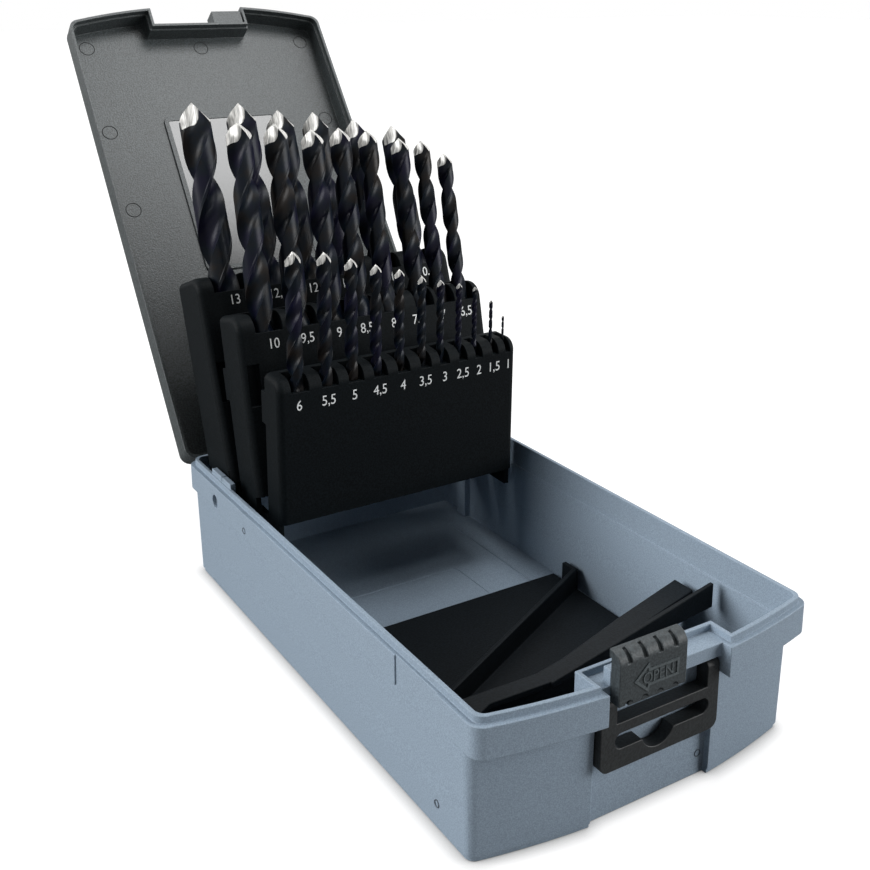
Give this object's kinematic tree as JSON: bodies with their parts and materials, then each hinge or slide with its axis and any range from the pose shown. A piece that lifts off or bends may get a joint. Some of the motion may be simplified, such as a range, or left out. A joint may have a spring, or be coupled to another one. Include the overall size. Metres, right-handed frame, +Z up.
{
  "type": "drill bit case",
  "caption": "Plastic drill bit case with a hinged lid, a sliding latch, a hanging loop and stepped pivoting racks that swing up and hold graded twist drills.",
  "frame": {"origin": "middle of the tub's underside", "axes": "+Z up, +Y towards the lid hinge, +X to the right seen from the latch"},
  "size_m": [0.126, 0.3596, 0.2246],
  "materials": {
    "tub_plastic": "fine grained blue grey plastic",
    "lid_plastic": "textured charcoal plastic",
    "rack_plastic": "black moulded plastic",
    "guard_plastic": "black moulded plastic",
    "latch_plastic": "grained charcoal plastic",
    "label_film": "glossy clear film over a blank card",
    "pin_steel": "plain steel",
    "drill_steel": "blue black oxide with bright ground points"
  },
  "bodies": {
    "tub": {"case_tub": "tub_plastic", "tip_guard": "guard_plastic", "lid_pin_left": "pin_steel", "lid_pin_right": "pin_steel", "rack_pin_left": "pin_steel", "rack_pin_right": "pin_steel"},
    "lid": {"case_lid": "lid_plastic", "label_frame": "lid_plastic", "label_sheet": "label_film"},
    "rack_large": {"rack_large": "rack_plastic"},
    "rack_medium": {"rack_medium": "rack_plastic"},
    "rack_small": {"rack_small": "rack_plastic"},
    "latch": {"latch_slider": "latch_plastic"},
    "hanger": {"hanger": "latch_plastic"},
    "drill_13_0": {"drill_bit_13_0": "drill_steel"},
    "drill_12_5": {"drill_bit_12_5": "drill_steel"},
    "drill_12_0": {"drill_bit_12_0": "drill_steel"},
    "drill_11_5": {"drill_bit_11_5": "drill_steel"},
    "drill_11_0": {"drill_bit_11_0": "drill_steel"},
    "drill_10_5": {"drill_bit_10_5": "drill_steel"},
    "drill_10_0": {"drill_bit_10_0": "drill_steel"},
    "drill_09_5": {"drill_bit_09_5": "drill_steel"},
    "drill_09_0": {"drill_bit_09_0": "drill_steel"},
    "drill_08_5": {"drill_bit_08_5": "drill_steel"},
    "drill_08_0": {"drill_bit_08_0": "drill_steel"},
    "drill_07_5": {"drill_bit_07_5": "drill_steel"},
    "drill_07_0": {"drill_bit_07_0": "drill_steel"},
    "drill_06_5": {"drill_bit_06_5": "drill_steel"},
    "drill_06_0": {"drill_bit_06_0": "drill_steel"},
    "drill_05_5": {"drill_bit_05_5": "drill_steel"},
    "drill_05_0": {"drill_bit_05_0": "drill_steel"},
    "drill_04_5": {"drill_bit_04_5": "drill_steel"},
    "drill_04_0": {"drill_bit_04_0": "drill_steel"},
    "drill_03_5": {"drill_bit_03_5": "drill_steel"},
    "drill_03_0": {"drill_bit_03_0": "drill_steel"},
    "drill_02_5": {"drill_bit_02_5": "drill_steel"},
    "drill_02_0": {"drill_bit_02_0": "drill_steel"},
    "drill_01_5": {"drill_bit_01_5": "drill_steel"},
    "drill_01_0": {"drill_bit_01_0": "drill_steel"}
  },
  "joints": [
    {"name": "lid_hinge", "type": "hinge", "parent": "tub", "child": "lid", "pos_m": [0, 0.1065, 0.048], "axis": [-1, 0, 0], "range_deg": [-126.67, 0]},
    {"name": "rack_large_pivot", "type": "hinge", "parent": "tub", "child": "rack_large", "pos_m": [0, 0.0772, 0.041], "axis": [-1, 0, 0], "range_deg": [-109.3, 0.01]},
    {"name": "rack_medium_pivot", "type": "hinge", "parent": "tub", "child": "rack_medium", "pos_m": [0, 0.0772, 0.041], "axis": [-1, 0, 0], "range_deg": [-102.1, 0.01]},
    {"name": "rack_small_pivot", "type": "hinge", "parent": "tub", "child": "rack_small", "pos_m": [0, 0.0772, 0.041], "axis": [-1, 0, 0], "range_deg": [-88.7, 0.01]},
    {"name": "latch_slide", "type": "slide", "parent": "tub", "child": "latch", "axis": [1, 0, 0], "range_m": [0, 0.01]},
    {"name": "hanger_swing", "type": "hinge", "parent": "tub", "child": "hanger", "pos_m": [0, -0.10715, 0.0398], "axis": [-1, 0, 0], "range_deg": [0, 90]},
    {"name": "drill_13_0_lift", "type": "slide", "parent": "rack_large", "child": "drill_13_0", "axis": [0, 0.3299, 0.944], "range_m": [0, 0.0751]},
    {"name": "drill_12_5_lift", "type": "slide", "parent": "rack_large", "child": "drill_12_5", "axis": [0, 0.3299, 0.944], "range_m": [0, 0.0763]},
    {"name": "drill_12_0_lift", "type": "slide", "parent": "rack_large", "child": "drill_12_0", "axis": [0, 0.3299, 0.944], "range_m": [0, 0.077]},
    {"name": "drill_11_5_lift", "type": "slide", "parent": "rack_large", "child": "drill_11_5", "axis": [0, 0.3299, 0.944], "range_m": [0, 0.073]},
    {"name": "drill_11_0_lift", "type": "slide", "parent": "rack_large", "child": "drill_11_0", "axis": [0, 0.3299, 0.944], "range_m": [0, 0.0772]},
    {"name": "drill_10_5_lift", "type": "slide", "parent": "rack_large", "child": "drill_10_5", "axis": [0, 0.3299, 0.944], "range_m": [0, 0.0721]},
    {"name": "drill_10_0_lift", "type": "slide", "parent": "rack_medium", "child": "drill_10_0", "axis": [0, 0.2079, 0.9781], "range_m": [0, 0.0556]},
    {"name": "drill_09_5_lift", "type": "slide", "parent": "rack_medium", "child": "drill_09_5", "axis": [0, 0.2079, 0.9781], "range_m": [0, 0.049]},
    {"name": "drill_09_0_lift", "type": "slide", "parent": "rack_medium", "child": "drill_09_0", "axis": [0, 0.2079, 0.9781], "range_m": [0, 0.0522]},
    {"name": "drill_08_5_lift", "type": "slide", "parent": "rack_medium", "child": "drill_08_5", "axis": [0, 0.2079, 0.9781], "range_m": [0, 0.0444]},
    {"name": "drill_08_0_lift", "type": "slide", "parent": "rack_medium", "child": "drill_08_0", "axis": [0, 0.2079, 0.9781], "range_m": [0, 0.0462]},
    {"name": "drill_07_5_lift", "type": "slide", "parent": "rack_medium", "child": "drill_07_5", "axis": [0, 0.2079, 0.9781], "range_m": [0, 0.0423]},
    {"name": "drill_07_0_lift", "type": "slide", "parent": "rack_medium", "child": "drill_07_0", "axis": [0, 0.2079, 0.9781], "range_m": [0, 0.044]},
    {"name": "drill_06_5_lift", "type": "slide", "parent": "rack_medium", "child": "drill_06_5", "axis": [0, 0.2079, 0.9781], "range_m": [0, 0.042]},
    {"name": "drill_06_0_lift", "type": "slide", "parent": "rack_small", "child": "drill_06_0", "axis": [0, -0.0246, 0.9997], "range_m": [0, 0.0436]},
    {"name": "drill_05_5_lift", "type": "slide", "parent": "rack_small", "child": "drill_05_5", "axis": [0, -0.0246, 0.9997], "range_m": [0, 0.0453]},
    {"name": "drill_05_0_lift", "type": "slide", "parent": "rack_small", "child": "drill_05_0", "axis": [0, -0.0246, 0.9997], "range_m": [0, 0.0419]},
    {"name": "drill_04_5_lift", "type": "slide", "parent": "rack_small", "child": "drill_04_5", "axis": [0, -0.0246, 0.9997], "range_m": [0, 0.0395]},
    {"name": "drill_04_0_lift", "type": "slide", "parent": "rack_small", "child": "drill_04_0", "axis": [0, -0.0246, 0.9997], "range_m": [0, 0.0376]},
    {"name": "drill_03_5_lift", "type": "slide", "parent": "rack_small", "child": "drill_03_5", "axis": [0, -0.0246, 0.9997], "range_m": [0, 0.0366]},
    {"name": "drill_03_0_lift", "type": "slide", "parent": "rack_small", "child": "drill_03_0", "axis": [0, -0.0246, 0.9997], "range_m": [0, 0.0302]},
    {"name": "drill_02_5_lift", "type": "slide", "parent": "rack_small", "child": "drill_02_5", "axis": [0, -0.0246, 0.9997], "range_m": [0, 0.0287]},
    {"name": "drill_02_0_lift", "type": "slide", "parent": "rack_small", "child": "drill_02_0", "axis": [0, -0.0246, 0.9997], "range_m": [0, 0.0231]},
    {"name": "drill_01_5_lift", "type": "slide", "parent": "rack_small", "child": "drill_01_5", "axis": [0, -0.0246, 0.9997], "range_m": [0, 0.0206]},
    {"name": "drill_01_0_lift", "type": "slide", "parent": "rack_small", "child": "drill_01_0", "axis": [0, -0.0246, 0.9997], "range_m": [0, 0.0218]}
  ],
  "couplings": [
    {"joint": "rack_large_pivot", "follows": "lid_hinge", "ratio": 0.86256},
    {"joint": "rack_medium_pivot", "follows": "lid_hinge", "ratio": 0.80524},
    {"joint": "rack_small_pivot", "follows": "lid_hinge", "ratio": 0.69937}
  ]
}
